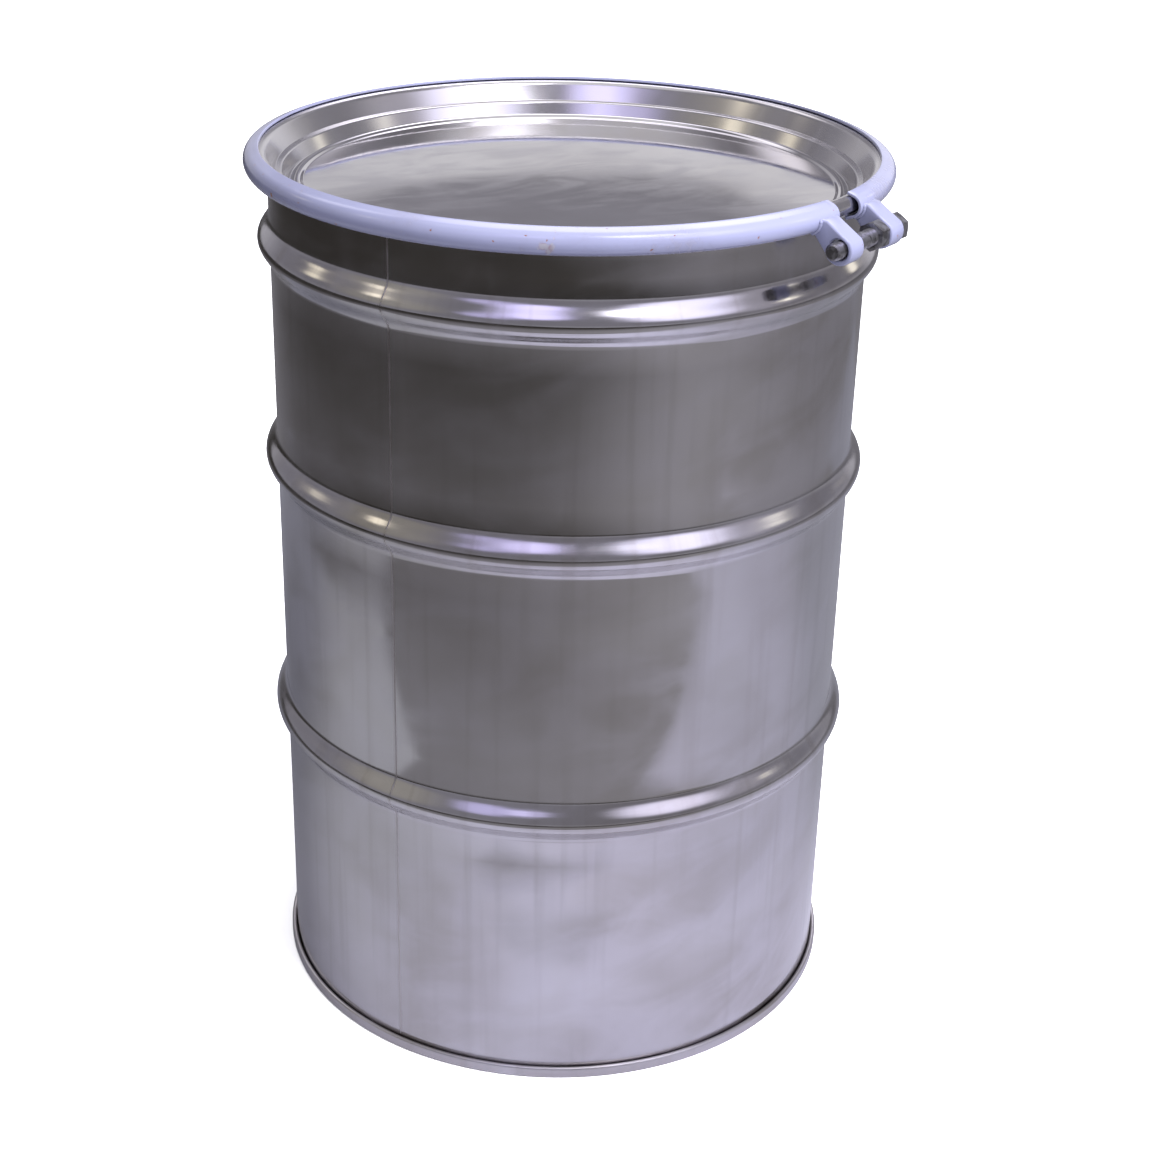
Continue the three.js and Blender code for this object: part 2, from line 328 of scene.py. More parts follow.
@dataclass(frozen=True)
class SheetSteel:
    """Rolled stainless sheet, handled and wiped.

    Laid round, its grain and drips follow the wall. Laid flat, it has clouds in their place.
    """

    name: str
    steel: tuple = (0.59, 0.58, 0.595)
    smoke: tuple = (0.38, 0.36, 0.345)
    haze: tuple = (0.66, 0.65, 0.705)
    tint: tuple = (0.30, 0.245, 0.20)
    roughness: float = 0.06
    smear: float = 0.14
    waves: float = 0.06
    wave_depth: float = 0.4 * MM
    grain_depth: float = 0.01 * MM
    rubbed_from: float = 0.0
    rubbed_width: float = 6 * MM
    radius: float = 0.287
    lay: Lay = Lay.ROUND
    seam_angle: float = 0.0
    seam_width: float = 0.0
    seam_ragged: float = 3 * MM
    hoops: tuple = ()
    hoop_reach: float = 30 * MM
    hoop_dirt: float = 0.2
    foot_top: float = 20 * MM
    foot_full: float = 4 * MM
    foot_dirt: float = 0.3
    heat: float = 0.45

    def laid(self, x: Value, y: Value, z: Value) -> tuple[Value, Value]:
        """Lays the pattern on the sheet.

        Args:
            x: First object coordinate.
            y: Second object coordinate.
            z: Height.

        Returns:
            Distance across the pattern, and along it.
        """
        if self.lay is Lay.FLAT:
            return x, y
        turn = self.seam_angle + math.pi
        cos, sin = math.cos(turn), math.sin(turn)
        around = (y * cos - x * sin).math("ARCTAN2", x * cos + y * sin)
        return around * self.radius, z

    def grime(self, graph: Graph, across: Value, along: Value, drips: Value) -> Value:
        """Dirt at the foot and round the hoops, and the tint that the seam's heat left.

        Args:
            graph: Node tree of the material.
            across: Distance across the pattern.
            along: Distance along the pattern.
            drips: Noise of the drips.

        Returns:
            How dirty the sheet is, before it was wiped.
        """
        foot = self.foot_dirt if self.lay is Lay.ROUND else 0.0
        dirt = along.ramp(self.foot_top, self.foot_full) * foot
        for height in self.hoops:
            beside = abs(along - height).ramp(self.hoop_reach, 0.0)
            dirt = dirt + beside * drips.ramp(0.45, 0.8) * self.hoop_dirt
        if self.seam_width:
            beside = math.pi * self.radius - abs(across)
            ragged = graph.noise(graph.vector(beside * 20.0, along * 140.0, 0.0), 1.0, 3.0)
            heated = (beside + ragged * self.seam_ragged).ramp(self.seam_width, 1 * MM)
            dirt = dirt + heated * self.heat
        return dirt

    def build(self) -> bpy.types.Material:
        """Makes the material.

        Returns:
            The finished material.
        """
        material, graph = blank_material(self.name)
        place = graph.place()
        x, y, z = graph.axes(place)
        across, along = self.laid(x, y, z)
        round_lay = self.lay is Lay.ROUND

        clouds = graph.noise(place, 3.4, 3.0, 0.5)
        hands = graph.noise(place, 11.0, 3.0, 0.9)
        wiped = graph.vector(across * 7.0 + along * 4.0, along * 17.0 - across * 6.0, 0.0)
        swipes = graph.noise(wiped, 1.0, 5.0, 0.8 if round_lay else 2.2)
        grain = graph.noise(graph.vector(across * 22.0, along * 1500.0, 0.0), 1.0, 2.0)
        if round_lay:
            drips = graph.noise(graph.vector(across * 70.0, along * 2.6, 0.3), 1.0, 3.0, 0.2)
        else:
            drips, grain = clouds * 0.8, grain * 0.4

        film = (hands * 0.3 + swipes * 0.55 + clouds * 0.15).ramp(0.36, 0.64)
        runs = drips.ramp(0.5, 0.76)
        spots = graph.specks(place, 48.0).ramp(0.12, 0.05) * clouds.ramp(0.52, 0.64) * 0.5
        tone = graph.mix(clouds.ramp(0.34, 0.66) * 0.8, self.steel, self.smoke)
        tone = graph.mix(film * 0.5, tone, self.haze)
        tone = graph.mix(runs * 0.22 + spots * 0.12 + grain * 0.1, tone, self.smoke)
        rough = film * self.smear + grain * 0.05 + runs * 0.04 + spots * 0.05 + self.roughness
        if self.rubbed_from:
            reach = (x * x + y * y) ** 0.5
            rubbed = reach.ramp(self.rubbed_from, self.rubbed_from + self.rubbed_width)
            rough = rough + rubbed * 0.13

        dirt = self.grime(graph, across, along, drips)
        dirt = (dirt * hands.ramp(0.25, 0.6)).clamped()
        relief = graph.bump(grain, self.grain_depth, 0.3)
        relief = graph.bump(film * 0.5 + hands, self.wave_depth, self.waves, relief)
        graph.surface(
            {
                "Base Color": graph.mix(dirt * 0.7, tone, self.tint),
                "Metallic": 1.0,
                "Roughness": (rough + dirt * 0.12).clamped(),
                "Normal": relief,
            }
        )
        return material


@dataclass(frozen=True)
class Enamel:
    """Pale baked enamel on the closing ring, with rubbed and rusty places."""

    name: str
    paint: tuple = (0.29, 0.30, 0.46)
    shade: tuple = (0.23, 0.235, 0.36)
    dirt: tuple = (0.20, 0.17, 0.17)
    rust: tuple = (0.22, 0.085, 0.035)
    steel: tuple = (0.36, 0.33, 0.32)
    worn_at: tuple = ()
    worn_radius: float = 9 * MM
    coat: float = 0.6
    coat_roughness: float = 0.08
    peel_depth: float = 0.04 * MM
    paint_depth: float = 0.12 * MM

    def build(self) -> bpy.types.Material:
        """Makes the material.

        Returns:
            The finished material.
        """
        material, graph = blank_material(self.name)
        place = graph.place()
        clouds = graph.noise(place, 9.0, 3.0, 0.4)
        speckle = graph.noise(place, 160.0, 4.0, 0.5)
        peel = graph.noise(place, 900.0, 2.0)
        fine = graph.vector(*[part * 40.0 for part in graph.axes(place)])
        scratch = graph.noise(fine, 1.0, 5.0, 2.2)

        grime = (clouds * 0.6 + speckle * 0.4).ramp(0.50, 0.72)
        tone = graph.mix(clouds.ramp(0.35, 0.68) * 0.5, self.paint, self.shade)
        tone = graph.mix(grime * 0.35, tone, self.dirt)
        chips = (speckle * 0.55 + scratch * 0.45).ramp(0.645, 0.665)
        for centre in self.worn_at:
            uneven = (scratch - 0.5) * 0.03
            ragged = graph.distance(place, centre) + uneven + (speckle - 0.5) * 0.02
            rubbed = ragged.ramp(self.worn_radius, self.worn_radius * 0.4)
            chips = chips.math("MAXIMUM", rubbed * 0.55)
        rusty = graph.mix(speckle.ramp(0.42, 0.6), self.steel, self.rust)
        tone = graph.mix(chips, tone, rusty)
        rough = grime * 0.16 + chips * 0.25 + clouds * 0.1 + 0.16
        relief = graph.bump(peel, self.peel_depth, 0.25)
        relief = graph.bump(1.0 - chips, self.paint_depth, 0.7, relief)
        graph.surface(
            {
                "Base Color": tone,
                "Metallic": 0.0,
                "Roughness": rough.clamped(),
                "Coat Weight": (1.0 - chips) * self.coat,
                "Coat Roughness": self.coat_roughness,
                "Normal": relief,
            }
        )
        return material


@dataclass(frozen=True)
class Zinc:
    """Dull zinc plate on the bolt and nut, darkened with handling."""

    name: str
    bright: tuple = (0.50, 0.50, 0.53)
    dull: tuple = (0.20, 0.195, 0.20)
    frost_depth: float = 0.03 * MM

    def build(self) -> bpy.types.Material:
        """Makes the material.

        Returns:
            The finished material.
        """
        material, graph = blank_material(self.name)
        place = graph.place()
        stains = graph.noise(place, 130.0, 4.0, 0.8)
        frost = graph.noise(place, 1200.0, 3.0)
        tone = graph.mix(stains.ramp(0.36, 0.64), self.bright, self.dull)
        rough = stains * 0.3 + frost * 0.12 + 0.16
        graph.surface(
            {
                "Base Color": tone,
                "Metallic": 1.0,
                "Roughness": rough.clamped(),
                "Normal": graph.bump(frost, self.frost_depth, 0.4),
            }
        )
        return material


@dataclass(frozen=True)
class SoftSeal:
    """Sponge rubber or cured sealing compound."""

    name: str
    tone: tuple
    bloom: tuple
    pores: float = 700.0
    pore_depth: float = 0.2 * MM

    def build(self) -> bpy.types.Material:
        """Makes the material.

        Returns:
            The finished material.
        """
        material, graph = blank_material(self.name)
        place = graph.place()
        pits = graph.specks(place, self.pores)
        dust = graph.noise(place, 60.0, 3.0)
        graph.surface(
            {
                "Base Color": graph.mix(dust.ramp(0.4, 0.7) * 0.6, self.tone, self.bloom),
                "Roughness": dust * 0.2 + 0.62,
                "Normal": graph.bump(pits, self.pore_depth, 0.5),
            }
        )
        return material


# ---- Mesh building ----------------------------------------------------------

Point = tuple[float, float]


def arc(centre: Point, radius: float, start: float, stop: float, steps: int) -> list[Point]:
    """Points on an arc of a section.

    Args:
        centre: Distance from the axis, and height.
        radius: Radius of the arc.
        start: First angle, in degrees.
        stop: Last angle, in degrees.
        steps: Number of chords.

    Returns:
        The points, both ends included.
    """
    angles = [math.radians(start + (stop - start) * i / steps) for i in range(steps + 1)]
    return [(centre[0] + radius * math.cos(a), centre[1] + radius * math.sin(a)) for a in angles]


def straight(start: Point, stop: Point, steps: int) -> list[Point]:
    """Evenly spaced points from start up to, but not including, stop."""
    run, rise = stop[0] - start[0], stop[1] - start[1]
    return [(start[0] + run * i / steps, start[1] + rise * i / steps) for i in range(steps)]


def rounded(corners: list[tuple[float, float, float]], steps: int = 6) -> list[Point]:
    """Joins corners by straight lines, each corner rounded to its own radius.

    Args:
        corners: Distance from the axis, height and bend radius of each corner.
        steps: Chords in each bend.

    Returns:
        The points of the line.
    """
    points = [corners[0][:2]]
    for before, here, after in zip(corners, corners[1:], corners[2:]):
        corner = Vector(here[:2])
        back = (Vector(before[:2]) - corner).normalized()
        ahead = (Vector(after[:2]) - corner).normalized()
        half = back.angle(ahead) / 2
        reach = here[2] / math.tan(half)
        middle = corner + (back + ahead).normalized() * (here[2] / math.sin(half))
        first, last = corner + back * reach - middle, corner + ahead * reach - middle
        for i in range(steps + 1):
            points.append(tuple(middle + first.slerp(last, i / steps) * here[2]))
    return points + [corners[-1][:2]]


def put(name: str, mesh: bpy.types.Mesh) -> bpy.types.Object:
    """Links a new object that holds the mesh, at the origin.

    Args:
        name: Name of the object.
        mesh: What it holds.

    Returns:
        The object.
    """
    made = bpy.data.objects.new(name, mesh)
    bpy.context.scene.collection.objects.link(made)
    return made


def from_bmesh(name: str, work: bmesh.types.BMesh) -> bpy.types.Object:
    """Makes an object of a bmesh, and frees the bmesh.

    Args:
        name: Name of the object and its mesh.
        work: Mesh to use up.

    Returns:
        The object.
    """
    mesh = bpy.data.meshes.new(name)
    work.to_mesh(mesh)
    work.free()
    return put(name, mesh)


def evaluated(piece: bpy.types.Object) -> bpy.types.Mesh:
    """A mesh of the piece as it is with its modifiers."""
    graph = bpy.context.evaluated_depsgraph_get()
    return bpy.data.meshes.new_from_object(piece.evaluated_get(graph))


def settle(piece: bpy.types.Object, sharp: float = 35.0) -> bpy.types.Object:
    """Applies the piece's modifiers and shades it smooth between its sharp edges.

    Args:
        piece: Object to finish.
        sharp: Angle in degrees, from which an edge stays sharp.

    Returns:
        The same object.
    """
    mesh = evaluated(piece)
    piece.modifiers.clear()
    piece.data = mesh
    mesh.name = piece.name
    work = bmesh.new()
    work.from_mesh(mesh)
    for face in work.faces:
        face.smooth = True
    limit = math.radians(sharp)
    for edge in work.edges:
        edge.smooth = len(edge.link_faces) == 2 and edge.calc_face_angle(0.0) < limit
    work.to_mesh(mesh)
    work.free()
    return piece


def turned(
    line: list[Point], steps: int, start: float = 0.0, sweep: float = TURN
) -> bmesh.types.BMesh:
    """Spins a line round the drum's axis.

    Args:
        line: Distance from the axis, and height, of its points.
        steps: Steps of the spin.
        start: Angle where it starts.
        sweep: Angle that it covers.

    Returns:
        The surface, closed round the axis where the sweep is a full turn.
    """
    work = bmesh.new()
    verts = [work.verts.new((r * math.cos(start), r * math.sin(start), z)) for r, z in line]
    edges = [work.edges.new(pair) for pair in zip(verts, verts[1:])]
    bmesh.ops.spin(
        work,
        geom=verts + edges,
        cent=(0, 0, 0),
        axis=(0, 0, 1),
        angle=sweep,
        steps=steps,
        use_merge=sweep > TURN - SAME,
    )
    bmesh.ops.remove_doubles(work, verts=work.verts, dist=SAME / 10)
    bmesh.ops.recalc_face_normals(work, faces=work.faces)
    return work


def sheet(name: str, work: bmesh.types.BMesh, gauge: float) -> bpy.types.Object:
    """Gives a surface the thickness of its sheet.

    Args:
        name: Name of the piece.
        work: Middle surface of the sheet.
        gauge: Thickness.

    Returns:
        The finished piece.
    """
    piece = from_bmesh(name, work)
    wall = piece.modifiers.new("gauge", "SOLIDIFY")
    wall.thickness = gauge
    wall.offset = 0.0
    wall.use_even_offset = True
    return settle(piece)


def combine(piece: bpy.types.Object, tool: bpy.types.Object, operation: str) -> None:
    """Cuts or joins a piece with a tool, which is used up.

    Args:
        piece: Object to change.
        tool: Object to cut or join with.
        operation: Boolean operation.
    """
    cut = piece.modifiers.new("cut", "BOOLEAN")
    cut.operation = operation
    cut.solver = "EXACT"
    cut.object = tool
    mesh = evaluated(piece)
    piece.modifiers.clear()
    piece.data = mesh
    bpy.data.objects.remove(tool)


def rod(radius: float, low: float, high: float, sides: int) -> bpy.types.Object:
    """A capped rod along Z, used as a blank or a drill.

    Args:
        radius: Radius.
        low: Lower end.
        high: Upper end.
        sides: Number of sides.

    Returns:
        The rod.
    """
    work = bmesh.new()
    bmesh.ops.create_cone(
        work, cap_ends=True, segments=sides, radius1=radius, radius2=radius, depth=high - low
    )
    bmesh.ops.translate(work, verts=work.verts, vec=(0, 0, (low + high) / 2))
    return from_bmesh("rod", work)


def dress(
    piece: bpy.types.Object, finish: bpy.types.Material, body: Body, slot: Slot, *nodes: str
) -> None:
    """Gives a piece its finish, its body and the CAD nodes that it stands for.

    Args:
        piece: Finished piece.
        finish: Its material.
        body: Body that it moves with.
        slot: Record slot of its finish; not used.
        nodes: CAD nodes that it replaces.
    """
    piece.data.materials.clear()
    piece.data.materials.append(finish)
    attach(piece, body.value)
    if nodes:
        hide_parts(*nodes)
    LOG.info("%s: %d faces on %s", piece.name, len(piece.data.polygons), body.value)


# ---- Drum body --------------------------------------------------------------


@dataclass
class DrumBody:
    """Rolled wall with its hoops and weld, the bottom head and the folded bottom seam."""

    inside_radius: float = 285.75 * MM
    gauge: float = 1.2 * MM
    hoop_width: float = 46 * MM
    hoop_heights: tuple = (297 * MM, 572 * MM, 789 * MM)
    curl_radius: float = 6.125 * MM
    curl_mouth: float = -125.0
    seam_gap: float = 0.75 * MM
    seam_height: float = 12.15 * MM
    seat: float = 0.3 * MM
    head_recess: float = 17.2 * MM
    seam_angle: float = math.radians(229.5)
    ripple: float = 0.35 * MM
    ripple_low: float = 20 * MM
    ripple_high: float = 835 * MM
    weld_half_width: float = 0.7 * MM
    weld_crown: float = 0.18 * MM
    weld_sink: float = 0.14 * MM
    weld_uneven: float = 0.04 * MM
    weld_gauge: float = 0.5 * MM
    weld_steps: int = 150
    hoop_steps: int = 18
    panel_step: float = 26 * MM
    steps: int = 240

    def __post_init__(self) -> None:
        """Works out the sizes that the frame and the other sizes give."""
        low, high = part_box("drum_shell")
        self.wall = self.inside_radius + self.gauge / 2
        self.hoop_rise = high.x - self.inside_radius - self.gauge
        self.curl_centre = (self.inside_radius + self.curl_radius, high.z - self.curl_radius)
        self.hook_bend = self.gauge + self.seam_gap
        self.cover_radius = self.wall + self.hook_bend
        self.body_hook = self.wall + 2 * self.hook_bend

    def swell(self, height: float) -> float:
        """How far the wall swells out at a height.

        Args:
            height: Height above the floor.

        Returns:
            The rise above the straight wall.
        """
        for middle in self.hoop_heights:
            place = 2 * (height - middle) / self.hoop_width
            if abs(place) < 1:
                return self.hoop_rise * math.cos(place * math.pi / 2) ** 2
        return 0.0

    def wall_line(self) -> list[Point]:
        """Middle of the wall, from the bottom seam to the rolled edge.

        Returns:
            The points, with more of them on the hoops.
        """
        half = self.hoop_width / 2
        foot = 2 * self.gauge + self.seat + self.hook_bend
        levels = [foot]
        for middle in self.hoop_heights:
            gap = middle - half - levels[-1]
            count = max(1, round(gap / self.panel_step))
            levels += [levels[-1] + gap * (i + 1) / count for i in range(count)]
            rounds = self.hoop_steps
            levels += [middle - half + 2 * half * (i + 1) / rounds for i in range(rounds)]
        gap = self.curl_centre[1] - levels[-1]
        levels += [levels[-1] + gap * (i + 1) / 3 for i in range(2)]
        return [(self.wall + self.swell(z), z) for z in levels]

    def shell(self, finish: bpy.types.Material) -> None:
        """Builds the wall, its rolled edge and its hook in the bottom seam.

        Args:
            finish: Its material.
        """
        turn = self.gauge + self.seat + self.gauge / 2 + self.hook_bend
        hook = arc((self.cover_radius, turn), self.hook_bend, 0, -180, 8)
        hook_end = (self.body_hook, self.seam_height - self.gauge * 1.5 - 2 * self.seat)
        curl = arc(self.curl_centre, self.curl_radius - self.gauge / 2, 180, self.curl_mouth, 22)
        work = turned([hook_end, *hook, *self.wall_line(), *curl], self.steps)
        for vert in work.verts:
            x, y, z = vert.co
            rise, fall = (z - self.ripple_low) / 0.06, (self.ripple_high - z) / 0.05
            hold = min(1.0, max(0.0, rise), max(0.0, fall))
            broad = noise.noise(Vector((x * 5, y * 5, z * 4.2)) + Vector((3.1, 0, 7)))
            fine = noise.noise(vert.co * 13 + Vector((0, 5.7, 0)))
            out = Vector((x, y, 0)).normalized()
            vert.co += out * hold * (broad * self.ripple + fine * self.ripple * 0.22)
        dress(sheet("shell", work, self.gauge), finish, Body.DRUM, Slot.STAINLESS, "drum_shell")

    def weld(self, finish: bpy.types.Material) -> None:
        """Builds the flat bead of the side seam, on the outside of the wall.

        Args:
            finish: Its material.
        """
        low = self.seam_height + 1 * MM
        high = self.curl_centre[1] - 12 * MM
        out = Vector((math.cos(self.seam_angle), math.sin(self.seam_angle), 0))
        side = Vector((-out.y, out.x, 0))
        work = bmesh.new()
        bmesh.ops.create_grid(work, x_segments=4, y_segments=self.weld_steps, size=1)
        for vert in work.verts:
            place, z = vert.co.x, low + (high - low) * (vert.co.y + 1) / 2
            uneven = noise.noise(Vector((0, 2.0, z * 260))) * self.weld_uneven
            rise = self.weld_crown * (1 - place * place) - self.weld_sink
            reach = self.wall + self.gauge / 2 + self.swell(z) + rise + uneven * (1 - abs(place))
            vert.co = out * reach + side * (place * self.weld_half_width) + Vector((0, 0, z))
        bmesh.ops.recalc_face_normals(work, faces=work.faces)
        dress(sheet("side_seam", work, self.weld_gauge), finish, Body.DRUM, Slot.STAINLESS)

    def bottom(self, finish: bpy.types.Material) -> None:
        """Builds the recessed bottom and its fold over the seam.

        Args:
            finish: Its material.
        """
        gauge, bend = self.gauge, self.hook_bend
        chuck = self.inside_radius - self.seat - gauge / 2
        outer = self.body_hook + bend
        panel = self.head_recess - gauge / 2
        crown = (self.body_hook, self.seam_height - gauge / 2 - bend)
        hook_end = gauge * 2 + self.seat * 3 + 2 * MM
        line = rounded(
            [
                (0, panel, 0),
                (chuck, panel, 4 * MM),
                (chuck, gauge / 2, 2 * MM),
                (outer, gauge / 2, 2 * MM),
                (outer, crown[1], 0),
            ],
            5,
        )
        inner = straight(line[0], line[1], 12)
        line = inner + line[1:-1] + arc(crown, bend, 0, 180, 10) + [(self.cover_radius, hook_end)]
        work = turned(line, self.steps)
        dress(sheet("bottom", work, gauge), finish, Body.DRUM, Slot.STAINLESS, "bottom_head")

    def build(self) -> None:
        """Builds the body's pieces."""
        wall_steel = SheetSteel(
            "wall_steel",
            radius=self.wall,
            seam_angle=self.seam_angle,
            seam_width=4.5 * MM,
            hoops=self.hoop_heights,
        )
        self.shell(wall_steel.build())
        self.weld(SheetSteel("weld_bead", steel=(0.50, 0.48, 0.48), roughness=0.25).build())
        self.bottom(SheetSteel("bottom_steel", roughness=0.24).build())
        compound = SoftSeal("seam_compound", (0.16, 0.145, 0.125), (0.22, 0.2, 0.18)).build()
        bead = frame["nodes"]["seam_sealant"]
        bead.data.materials.clear()
        bead.data.materials.append(compound)


# ---- Lid --------------------------------------------------------------------


@dataclass
class Lid:
    """Pressed lid with its stepped wall, groove and bead, and the gasket in its rim."""

    gauge: float = 1.5 * MM
    rim_radius: float = 8 * MM
    rim_centre: float = 294 * MM
    skirt: float = 2.5 * MM
    wall_slope: float = 30.0
    step_drop: float = 18.5 * MM
    step_width: float = 5.5 * MM
    groove_radius: float = 266.5 * MM
    groove_width: float = 4 * MM
    groove_drop: float = 33 * MM
    bead_radius: float = 258 * MM
    bead_drop: float = 28 * MM
    bead_width: float = 9 * MM
    panel_drop: float = 31.5 * MM
    panel_wave: float = 0.12 * MM
    gasket_nip: float = 0.2 * MM
    steps: int = 240

    def cover(self, finish: bpy.types.Material) -> None:
        """Builds the lid.

        Args:
            finish: Its material.
        """
        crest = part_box("lid")[1].z - self.gauge / 2
        slope = math.radians(self.wall_slope)
        middle = crest - self.rim_radius
        wall = self.rim_centre - self.rim_radius * math.cos(slope)
        wall_top = middle + self.rim_radius * math.sin(slope)
        step = wall - (wall_top - crest + self.step_drop) * math.tan(slope)
        rim = arc((self.rim_centre, middle), self.rim_radius, 0, 180 - self.wall_slope, 22)
        shelf, groove = crest - self.step_drop, crest - self.groove_drop
        panel = crest - self.panel_drop
        recess = rounded(
            [
                (*rim[-1], 0),
                (step, shelf, 1.6 * MM),
                (step - self.step_width, shelf - self.gauge / 2, 2.2 * MM),
                (self.groove_radius, groove, 2.4 * MM),
                (self.groove_radius - self.groove_width, groove, 1.6 * MM),
                (self.bead_radius, crest - self.bead_drop + 1.2 * MM, 3.2 * MM),
                (self.bead_radius - self.bead_width / 2, panel, 2.5 * MM),
                (0, panel, 0),
            ],
            5,
        )
        edge = (self.rim_centre + self.rim_radius, middle - self.skirt)
        flat = straight(recess[-2], recess[-1], 18) + [recess[-1]]
        work = turned([edge, *rim, *recess[1:-2], *flat], self.steps)
        for vert in work.verts:
            reach = math.hypot(vert.co.x, vert.co.y)
            hold = max(0.0, 1 - reach / (self.bead_radius - self.bead_width))
            wave = noise.noise(Vector((vert.co.x * 7, vert.co.y * 7, 1.7)))
            vert.co.z += min(1.0, hold * 3) * wave * self.panel_wave
        dress(sheet("cover", work, self.gauge), finish, Body.LID, Slot.STAINLESS, "lid")

    def gasket(self, finish: bpy.types.Material) -> None:
        """Builds the sponge gasket in the rim.

        Args:
            finish: Its material.
        """
        low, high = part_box("lid_gasket")
        dome = (high.x - low.x) / 2 - self.rim_centre
        height = high.z - low.z
        ring = arc((self.rim_centre, low.z), height - self.gasket_nip, 0, 180, 12)
        wide = [(self.rim_centre + (r - self.rim_centre) * (dome / height), z) for r, z in ring]
        work = turned([*wide, wide[0]], self.steps)
        dress(settle(from_bmesh("gasket", work)), finish, Body.LID, Slot.GASKET, "lid_gasket")

    def build(self) -> None:
        """Builds the lid's pieces."""
        bright = SheetSteel(
            "lid_steel",
            steel=(0.68, 0.67, 0.67),
            smoke=(0.57, 0.55, 0.54),
            haze=(0.66, 0.65, 0.68),
            roughness=0.025,
            smear=0.05,
            waves=0.015,
            rubbed_from=0.262,
            lay=Lay.FLAT,
        )
        self.cover(bright.build())
        self.gasket(SoftSeal("sponge_rubber", (0.018, 0.018, 0.02), (0.06, 0.06, 0.062)).build())


# ---- Closing ring -----------------------------------------------------------


